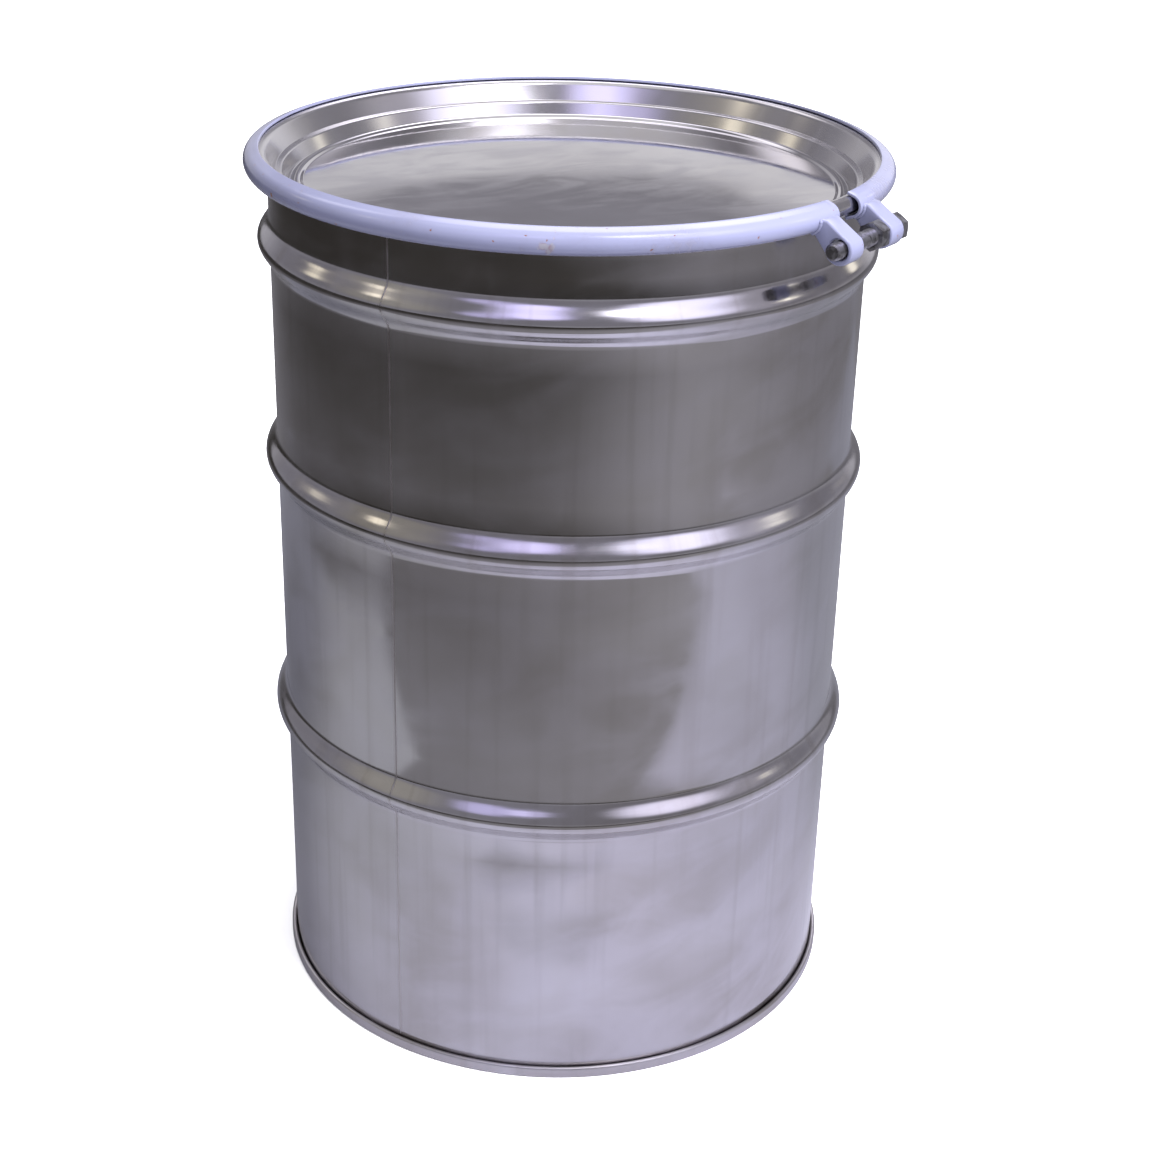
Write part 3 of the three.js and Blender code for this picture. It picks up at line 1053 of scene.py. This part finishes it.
@dataclass
class Closure:
    """Closing ring with its lugs, bolt and nut.

    Its pieces are built with the gap towards +X, the bolt along Y and the head at +Y, then turned
    to where the frame has them.
    """

    ring_gauge: float = 2.7 * MM
    lip_radius: float = 293.6 * MM
    bend_radius: float = 9.8 * MM
    flange_slope: float = 18.0
    gap: float = 36 * MM
    flex: float = 12 * MM
    bolt_radius: float = 7.94 * MM
    thread_root: float = 6.85 * MM
    pitch: float = 2.309 * MM
    across_flats: float = 23.8 * MM
    head_thickness: float = 10 * MM
    bolt_length: float = 101.6 * MM
    nut_thickness: float = 13.5 * MM
    lug_span: float = 48 * MM
    lug_thickness: float = 22 * MM
    lug_end: float = 14 * MM
    seat: float = 0.3 * MM
    plain_clearance: float = 0.8 * MM
    swing_clearance: float = 1.6 * MM
    nut_clearance: float = 0.12 * MM
    countersink: float = 1.3 * MM
    drill_reach: float = 90 * MM
    lug_bevel: float = 2.2 * MM
    edge_bevel: float = 0.5 * MM
    weld_radius: float = 2 * MM
    weld_proud: float = 0.2 * MM
    chamfer_share: float = 0.97
    tip_chamfer: float = 0.9 * MM
    worn_polar: float = math.radians(-101.5)
    steps: int = 234

    def __post_init__(self) -> None:
        """Works out the places that the frame gives."""
        bolt_turn = next(joint for joint in frame["joints"] if joint["name"] == "bolt_turn")
        x, y, self.bolt_height = bolt_turn["pos_m"]
        self.bolt_offset = math.hypot(x, y)
        self.place = Matrix.Rotation(math.atan2(y, x), 4, "Z")
        low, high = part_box("ring_plain_side")
        self.ring_middle = (low.z + high.z) / 2
        self.ring_radius = (CAD_BOX[1].x - CAD_BOX[0].x) / 2
        self.bend_centre = self.ring_radius - self.ring_gauge / 2 - self.bend_radius
        self.inner_face = self.lug_span / 2
        self.outer_face = self.inner_face + self.lug_thickness

    def ring_line(self, bend: float, steps: int) -> list[Point]:
        """Middle of the ring's channel, or a line outside it for a larger bend.

        Args:
            bend: Radius of the channel's bend.
            steps: Chords in the bend.

        Returns:
            The points, from the upper lip to the lower one.
        """
        slope = math.radians(self.flange_slope)
        start = self.bend_centre + bend * math.sin(slope)
        rise = bend * math.cos(slope) + (start - self.lip_radius) * math.tan(slope)
        centre = (self.bend_centre, self.ring_middle)
        curve = arc(centre, bend, 90 - self.flange_slope, self.flange_slope - 90, steps)
        top = (self.lip_radius, self.ring_middle + rise)
        foot = (self.lip_radius, self.ring_middle - rise)
        return [*straight(top, curve[0], 2), *curve, *reversed(straight(foot, curve[-1], 2))]

    def ring(self, finish: bpy.types.Material) -> None:
        """Builds the whole ring.

        Args:
            finish: Its material.
        """
        end = math.asin(self.gap / 2 / self.ring_radius)
        work = turned(self.ring_line(self.bend_radius, 20), self.steps, end, TURN - 2 * end)
        bmesh.ops.transform(work, matrix=self.place, verts=work.verts)
        piece = sheet("closing_ring", work, self.ring_gauge)
        rim = piece.modifiers.new("edge", "BEVEL")
        rim.width = self.edge_bevel
        rim.segments = 2
        rim.limit_method = "ANGLE"
        rim.angle_limit = math.radians(60)
        settle(piece, 45.0)
        piece.data.materials.append(finish)
        back = Vector((-self.ring_radius, 0, self.ring_middle))
        start = self.place @ (back + Vector((0, self.flex, 0)))
        end_point = self.place @ (back - Vector((0, self.flex, 0)))
        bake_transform(piece)
        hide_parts("ring_plain_side", "ring_threaded_side")
        LOG.info("%s: %d faces", piece.name, len(piece.data.polygons))

    def envelope(self) -> bpy.types.Object:
        """The space inside the middle of the ring's wall, near the gap.

        Returns:
            A closed piece to cut with.
        """
        line = self.ring_line(self.bend_radius, 20)
        inner = self.lip_radius - 60 * MM
        loop = [(inner, line[0][1]), *line, (inner, line[-1][1]), (inner, line[0][1])]
        reach = math.radians(14)
        work = turned(loop, 36, -reach, 2 * reach)
        bmesh.ops.holes_fill(work, edges=[edge for edge in work.edges if edge.is_boundary])
        bmesh.ops.recalc_face_normals(work, faces=work.faces)
        return from_bmesh("envelope", work)

    def lug(self, side: Side, finish: bpy.types.Material) -> None:
        """Builds a forged lug and the welds that hold it to the ring.

        Args:
            side: Side of the gap.
            finish: Its material.
        """
        plain = side is Side.PLAIN
        name = "lug_plain" if plain else "lug_threaded"
        body = Body.RING_PLAIN if plain else Body.RING_THREADED
        clearance = self.plain_clearance if plain else self.swing_clearance
        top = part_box(name)[1].z
        end = arc((self.bolt_offset, self.bolt_height), self.lug_end, 40, -160, 18)
        outline = [
            (self.bend_centre, top),
            (self.ring_radius + 2.5 * MM, top),
            *end,
            (self.bend_centre, self.ring_middle - self.bend_radius),
        ]
        near = side.value * self.inner_face
        work = bmesh.new()
        face = work.faces.new([work.verts.new((r, near, z)) for r, z in outline])
        grown = bmesh.ops.extrude_face_region(work, geom=[face])
        moved = [item for item in grown["geom"] if isinstance(item, bmesh.types.BMVert)]
        bmesh.ops.translate(work, verts=moved, vec=(0, side.value * self.lug_thickness, 0))
        bmesh.ops.recalc_face_normals(work, faces=work.faces)
        ends = [(edge, *edge.verts) for edge in work.edges]
        bmesh.ops.bevel(
            work,
            geom=[edge for edge, one, two in ends if abs(one.co.y - two.co.y) < SAME],
            offset=self.lug_bevel,
            offset_type="OFFSET",
            segments=4,
            profile=0.5,
            affect="EDGES",
            material=-1,
            clamp_overlap=True,
        )
        piece = from_bmesh("forged_" + name, work)
        combine(piece, self.envelope(), "DIFFERENCE")
        combine(piece, self.across(self.drill(self.bolt_radius + clearance)), "DIFFERENCE")
        settle(piece, 40.0)
        piece.data.transform(self.place)
        dress(piece, finish, body, Slot.ENAMEL, name)
        for face_at, tag in ((near, "inner"), (near + side.value * self.lug_thickness, "outer")):
            self.weld(f"weld_{name}_{tag}", face_at, top, body, finish)

    def drill(self, radius: float) -> bpy.types.Object:
        """A drill with a countersink at both faces of both lugs, along Z.

        Args:
            radius: Radius of the hole.

        Returns:
            A closed piece to cut with.
        """
        end, mouth = self.drill_reach, self.countersink
        line = [(0.0, -end), (radius, -end)]
        for at in (-self.outer_face, -self.inner_face, self.inner_face, self.outer_face):
            line += [(radius, at - mouth), (radius + mouth, at), (radius, at + mouth)]
        return from_bmesh("drill", turned([*line, (radius, end), (0.0, end)], 48))

    def across(self, piece: bpy.types.Object) -> bpy.types.Object:
        """Lays a piece made along Z on the bolt's axis, its top towards the head.

        Args:
            piece: Piece to lay.

        Returns:
            The same piece.
        """
        lay = Matrix.Rotation(math.radians(-90), 4, "X")
        piece.data.transform(Matrix.Translation((self.bolt_offset, 0, self.bolt_height)) @ lay)
        return piece

    def weld(
        self, name: str, along: float, top: float, body: Body, finish: bpy.types.Material
    ) -> None:
        """Builds a weld bead where a lug's face meets the ring.

        Args:
            name: Name of the piece.
            along: Place of the lug's face, along the bolt.
            top: Height of the top of the lug.
            body: Body that it moves with.
            finish: Its material.
        """
        reach = self.bend_radius + self.ring_gauge / 2
        first = math.degrees(math.asin((top - self.ring_middle) / reach))
        centre = (self.bend_centre, self.ring_middle)
        path = arc(centre, reach + self.weld_proud, first, -80, 26)
        curve = bpy.data.curves.new(name, "CURVE")
        curve.dimensions = "3D"
        curve.bevel_depth = self.weld_radius
        curve.bevel_resolution = 4
        curve.use_fill_caps = True
        spline = curve.splines.new("POLY")
        spline.points.add(len(path) - 1)
        for i, (r, z) in enumerate(path):
            uneven = noise.noise(Vector((i * 0.7, along * 90, 0)))
            beat = 0.85 + 0.22 * abs(math.sin(i * 1.25)) + 0.1 * uneven
            ease = min(1.0, 0.35 + i / 4, 0.35 + (len(path) - 1 - i) / 4)
            spline.points[i].co = (math.sqrt(r * r - along * along), along, z, 1)
            spline.points[i].radius = beat * ease
        holder = put(name, curve)
        mesh = evaluated(holder)
        bpy.data.objects.remove(holder)
        work = bmesh.new()
        work.from_mesh(mesh)
        bmesh.ops.remove_doubles(work, verts=work.verts, dist=SAME)
        bmesh.ops.recalc_face_normals(work, faces=work.faces)
        bmesh.ops.transform(work, matrix=self.place, verts=work.verts)
        dress(settle(from_bmesh(name, work), 60.0), finish, body, Slot.ENAMEL)

    def hexagon(self, low: float, high: float, chamfer_low: bool) -> bpy.types.Object:
        """A hexagon along Z, its corners turned down to a chamfer.

        Args:
            low: Lower end.
            high: Upper end.
            chamfer_low: Whether the lower end has the chamfer too.

        Returns:
            The blank.
        """
        corner = self.across_flats / math.sqrt(3)
        face = self.across_flats / 2 * self.chamfer_share
        drop = (corner - face) * math.tan(math.radians(30))
        wide = corner + 0.1 * MM
        foot = [(face, low), (wide, low + drop)] if chamfer_low else [(wide, low)]
        line = [(0.0, low), *foot, (wide, high - drop), (face, high), (0.0, high)]
        blank = rod(corner, low, high, 6)
        combine(blank, from_bmesh("turning", turned(line, 72)), "INTERSECT")
        return blank

    def thread(self, low: float, high: float) -> bmesh.types.BMesh:
        """A right-hand thread along Z, flat at both ends, its low end pointed.

        Args:
            low: Lower end.
            high: Upper end.

        Returns:
            The closed thread with its core.
        """
        fine = 36
        crest = self.bolt_radius
        turns = math.ceil((high - low) / self.pitch) + 2
        line = [
            (self.thread_root, 0.0),
            (crest, self.pitch * 0.42),
            (crest, self.pitch * 0.55),
            (self.thread_root, self.pitch * 0.97),
            (self.thread_root, self.pitch),
        ]
        work = bmesh.new()
        verts = [work.verts.new((r, 0, low - self.pitch + z)) for r, z in line]
        edges = [work.edges.new(pair) for pair in zip(verts, verts[1:])]
        bmesh.ops.spin(
            work,
            geom=verts + edges,
            cent=(0, 0, 0),
            axis=(0, 0, 1),
            dvec=(0, 0, self.pitch / fine),
            angle=TURN * turns,
            steps=fine * turns,
            use_merge=False,
        )
        bmesh.ops.remove_doubles(work, verts=work.verts, dist=SAME)
        for level, normal in ((low, -1), (high, 1)):
            bmesh.ops.bisect_plane(
                work,
                geom=[*work.verts, *work.edges, *work.faces],
                plane_co=(0, 0, level),
                plane_no=(0, 0, normal),
                clear_outer=True,
            )
            rim = [edge for edge in work.edges if edge.is_boundary]
            rim = [edge for edge in rim if all(abs(v.co.z - level) < SAME for v in edge.verts)]
            bmesh.ops.holes_fill(work, edges=rim, sides=0)
        for vert in work.verts:
            limit = self.thread_root - self.tip_chamfer + (vert.co.z - low)
            reach = math.hypot(vert.co.x, vert.co.y)
            if reach > limit:
                vert.co.x *= limit / reach
                vert.co.y *= limit / reach
        bmesh.ops.recalc_face_normals(work, faces=work.faces)
        return work

    def bolt(self, finish: bpy.types.Material) -> None:
        """Builds the closing bolt: head, plain shank and thread.

        Args:
            finish: Its material.
        """
        under = self.outer_face + self.seat
        piece = self.hexagon(under, under + self.head_thickness, False)
        piece.name = "hex_bolt"
        combine(piece, rod(self.bolt_radius, self.inner_face - 2 * MM, under + MM, 48), "UNION")
        work = self.thread(under - self.bolt_length, self.inner_face - 1 * MM)
        work.from_mesh(piece.data)
        bpy.data.objects.remove(piece)
        piece = self.across(from_bmesh("hex_bolt", work))
        settle(piece, 30.0)
        piece.data.transform(self.place)
        dress(piece, finish, Body.BOLT, Slot.ZINC, "closing_bolt")

    def nut(self, finish: bpy.types.Material) -> None:
        """Builds the jam nut against the plain lug.

        Args:
            finish: Its material.
        """
        face = self.inner_face - self.seat
        piece = self.hexagon(face - self.nut_thickness, face, True)
        piece.name = "hex_nut"
        bore = rod(self.bolt_radius + self.nut_clearance, face - 50 * MM, face + 50 * MM, 48)
        combine(piece, bore, "DIFFERENCE")
        self.across(piece)
        settle(piece, 30.0)
        piece.data.transform(self.place)
        dress(piece, finish, Body.NUT, Slot.ZINC, "jam_nut")

    def build(self) -> None:
        """Builds the closure's pieces."""
        worn = Vector((math.cos(self.worn_polar), math.sin(self.worn_polar), 0)) * self.ring_radius
        worn.z = self.ring_middle - 2 * MM
        enamel = Enamel("lilac_enamel", worn_at=(tuple(worn),)).build()
        zinc = Zinc("zinc_plate").build()
        self.ring(enamel)
        for side in Side:
            self.lug(side, enamel)
        self.bolt(zinc)
        self.nut(zinc)


# ---- Studio -----------------------------------------------------------------


@dataclass(frozen=True)
class Glow:
    """A soft light that the steel mirrors: where it is, in degrees, how wide, and its colour."""

    azimuth: float
    elevation: float
    core: float
    reach: float
    tone: tuple


@dataclass(frozen=True)
class Lamp:
    """A soft square light: where it is, in degrees, its side in metres, and its watts."""

    azimuth: float
    elevation: float
    size: float
    power: float


@dataclass
class Studio:
    """Camera, floor, sky and lights.

    Azimuths count from the camera's side, to the right. On the floor, a pale sheet lies under the
    drum: its sides, front and back are distances from the axis. Heights in the sky are sines.
    """

    lens: float = 64.53
    sensor: float = 36.0
    distance: float = 1.957
    height: float = 1.3436
    azimuth: float = math.radians(-8)
    pitch: float = 0.442
    yaw: float = 0.009
    roll: float = 0.025
    near_clip: float = 0.05
    far_clip: float = 60.0
    floor_reach: float = 14.0
    white: tuple = (1.9, 1.9, 1.9)
    bounce: tuple = (0.40, 0.40, 0.44)
    backdrop: tuple = (1.0, 1.0, 1.0)
    pale: tuple = (0.52, 0.51, 0.61)
    # Painted shade: the sheet's tones to the left, to the right and behind the drum.
    pale_left: tuple = (0.33, 0.33, 0.345)
    pale_right: tuple = (0.30, 0.295, 0.34)
    pale_behind: tuple = (0.24, 0.24, 0.27)
    # Painted shade of the room beyond the sheet, near and far.
    dusk: tuple = (0.19, 0.184, 0.192)
    dark: tuple = (0.05, 0.046, 0.041)
    wall_behind: tuple = (0.80, 0.785, 0.83)
    wall_behind_left: tuple = (0.52, 0.51, 0.55)
    overhead: tuple = (0.88, 0.87, 0.92)
    room: tuple = (0.27, 0.262, 0.30)
    sheet_left: float = -1.25
    sheet_right: float = 1.5
    sheet_front: float = 0.64
    sheet_back: float = -1.4
    sheet_soft: float = 0.05
    wall_top: float = 0.242
    overhead_from: float = 0.84
    overhead_full: float = 0.93
    daylight_left: tuple = (0.34, 0.335, 0.32)
    daylight_right: tuple = (1.45, 1.46, 1.6)
    lamp_reach: float = 3.0
    lamps: tuple = (Lamp(48, 48, 1.4, 112), Lamp(-60, 60, 1.6, 8))
    glows: tuple = (
        Glow(78, 33, 8, 28, (0.50, 0.48, 0.56)),
        Glow(-72, 28, 5, 30, (0.40, 0.38, 0.35)),
        Glow(42, 61, 2, 17, (8.5, 8.4, 9.4)),
        Glow(50, 42, 5, 27, (1.8, 1.75, 2.2)),
        Glow(-16, 51, 3, 16, (1.6, 1.5, 2.3)),
        Glow(-32, 41, 2, 14, (0.8, 0.75, 1.15)),
        Glow(-82, 36, 1, 6, (2.4, 2.2, 1.8)),
        Glow(-110, 23, 1, 6, (1.9, 1.75, 1.4)),
        Glow(92, 27, 1, 6, (2.6, 2.5, 2.2)),
        Glow(130, 14, 1, 5, (1.8, 1.7, 1.5)),
        Glow(172, 52, 5, 27, (3.2, 3.1, 3.5)),
        Glow(-138, 46, 3, 16, (1.8, 1.75, 1.9)),
    )

    def toward(self, azimuth: float, elevation: float) -> Vector:
        """Direction from the drum.

        Args:
            azimuth: Degrees round from the camera's side.
            elevation: Degrees up.

        Returns:
            The direction, of length 1.
        """
        turn, rise = self.azimuth + math.radians(azimuth), math.radians(elevation)
        level = Vector((math.sin(turn), -math.cos(turn), 0)) * math.cos(rise)
        return level + Vector((0, 0, math.sin(rise)))

    def sides(self, x: Value, y: Value) -> tuple[Value, Value]:
        """How far a place is to the camera's right, and how far towards the camera."""
        cos, sin = math.cos(self.azimuth), math.sin(self.azimuth)
        return x * cos + y * sin, x * sin - y * cos

    def camera(self) -> None:
        """Places the camera."""
        data = bpy.data.cameras.new("camera")
        data.lens = self.lens
        data.sensor_width = self.sensor
        data.clip_start = self.near_clip
        data.clip_end = self.far_clip
        made = bpy.data.objects.new("camera", data)
        bpy.context.scene.collection.objects.link(made)
        made.location = self.toward(0, 0) * self.distance + Vector((0, 0, self.height))
        turn = Matrix.Rotation(self.azimuth - self.yaw, 4, "Z")
        tilt = Matrix.Rotation(math.pi / 2 - self.pitch, 4, "X")
        made.rotation_mode = "QUATERNION"
        roll = Matrix.Rotation(self.roll, 4, "Z")
        made.rotation_quaternion = (turn @ tilt @ roll).to_quaternion()
        bpy.context.scene.camera = made

    def floor(self) -> None:
        """A pale floor. Only the steel sees where its sheet ends and a darker room of painted
        shade begins.
        """
        work = bmesh.new()
        bmesh.ops.create_grid(work, x_segments=1, y_segments=1, size=self.floor_reach)
        made = from_bmesh("floor", work)
        material, graph = blank_material("floor")
        place = graph.place()
        x, y, _ = graph.axes(place)
        right, near = self.sides(x, y)
        ragged = (graph.noise(place, 2.2, 2.0) - 0.5) * 0.1
        across, soft = right + ragged, self.sheet_soft
        front = near - right * 0.15 + ragged
        back = near + right * 0.3 + ragged
        # Painted shade: a soft dark spot on the sheet just inside its front edge, which only the
        # steel sees; the sheet has no fold.
        fold = graph.vector(right * 5.0, (near - self.sheet_front + 0.12) * 18.0, 0.0)
        outside = across.ramp(self.sheet_right - soft, self.sheet_right + soft)
        for edge in (
            across.ramp(self.sheet_left + soft, self.sheet_left - soft),
            front.ramp(self.sheet_front - 0.02, self.sheet_front + 0.03),
            back.ramp(self.sheet_back, self.sheet_back - 2 * soft),
            graph.distance(fold, Vector()).ramp(1.1, 0.6) * 0.3,
        ):
            outside = outside.math("MAXIMUM", edge)
        seen = graph.node("ShaderNodeLightPath", {}, {}, "Is Camera Ray")
        glossy = graph.node("ShaderNodeLightPath", {}, {}, "Is Glossy Ray")
        # Painted shade: the sheet goes darker to the left, to the right and behind the drum.
        sheet_tone = graph.mix(right.ramp(0.1, -0.75), self.pale, self.pale_left)
        sheet_tone = graph.mix(right.ramp(0.1, 0.9), sheet_tone, self.pale_right)
        sheet_tone = graph.mix(near.ramp(0.1, -0.4), sheet_tone, self.pale_behind)
        # Painted shade: the room beyond the sheet, which only the steel sees, goes from dusk to
        # dark farther out towards the camera's side and to the left.
        away = (near - right * 0.6).math("MAXIMUM", right * -1.2)
        painted_room_shade = graph.mix(away.ramp(0.5, 3.2), self.dusk, self.dark)
        unseen = graph.mix(glossy, self.bounce, graph.mix(outside, sheet_tone, painted_room_shade))
        tone = graph.mix(seen, unseen, self.white)
        shader = graph.node("ShaderNodeBsdfDiffuse", {}, {"Color": tone})
        graph.node("ShaderNodeOutputMaterial", {}, {"Surface": shader})
        made.data.materials.append(material)

    def sky(self) -> None:
        """An even white sky. The steel sees a room in it, pale behind, with soft lights."""
        world = bpy.data.worlds.new("sky")
        bpy.context.scene.world = world
        graph = Graph(world)
        direction = graph.node("ShaderNodeTexCoord", {}, {}, "Generated")
        x, y, up = graph.axes(direction)
        right, near = self.sides(x, y)
        edge = up - right * right * 1.3
        behind = edge.ramp(self.wall_top + 0.005, self.wall_top) * near.ramp(-0.6, -0.9)
        low = up.ramp(0.2, 0.0) * 0.25
        wall_tone = graph.mix(right.ramp(0.0, -0.22), self.wall_behind, self.wall_behind_left)
        tone = graph.mix(behind.math("MAXIMUM", low), self.room, wall_tone)
        tone = graph.mix(up.ramp(self.overhead_from, self.overhead_full), tone, self.overhead)
        for glow in self.glows:
            aim = tuple(self.toward(glow.azimuth, glow.elevation))
            settings = {"operation": "DOT_PRODUCT"}
            facing = graph.node("ShaderNodeVectorMath", settings, {0: direction, 1: aim}, 1)
            core, reach = math.cos(math.radians(glow.core)), math.cos(math.radians(glow.reach))
            tone = graph.mix(facing.ramp(reach, core) ** 2.0, tone, glow.tone)
        glossy = graph.node("ShaderNodeLightPath", {}, {}, "Is Glossy Ray")
        side = graph.mix(right.ramp(-1.0, 1.0), self.daylight_left, self.daylight_right)
        seen = graph.node("ShaderNodeLightPath", {}, {}, "Is Camera Ray")
        tone = graph.mix(seen, graph.mix(glossy, side, tone), self.backdrop)
        shader = graph.node("ShaderNodeBackground", {}, {"Color": tone})
        graph.node("ShaderNodeOutputWorld", {}, {"Surface": shader})

    def light(self, lamp: Lamp) -> None:
        """Adds a soft light, aimed at the drum, that the steel doesn't mirror.

        Args:
            lamp: The light to add.
        """
        data = bpy.data.lights.new("softbox", "AREA")
        data.size = lamp.size
        data.energy = lamp.power
        made = bpy.data.objects.new("softbox", data)
        bpy.context.scene.collection.objects.link(made)
        aim = self.toward(lamp.azimuth, lamp.elevation)
        made.location = aim * self.lamp_reach + Vector((0, 0, 0.45))
        made.rotation_mode = "QUATERNION"
        made.rotation_quaternion = aim.to_track_quat("Z", "Y")
        made.visible_glossy = False

    def build(self) -> None:
        """Sets up the studio."""
        self.camera()
        self.floor()
        self.sky()
        for lamp in self.lamps:
            self.light(lamp)
        bpy.context.scene.view_settings.view_transform = "Standard"


def main() -> None:
    """Builds the drum and its studio."""
    logging.basicConfig(level=logging.INFO, format="%(name)s: %(message)s")
    Studio().build()
    DrumBody().build()
    Lid().build()
    Closure().build()


if __name__ == "__main__":
    main()
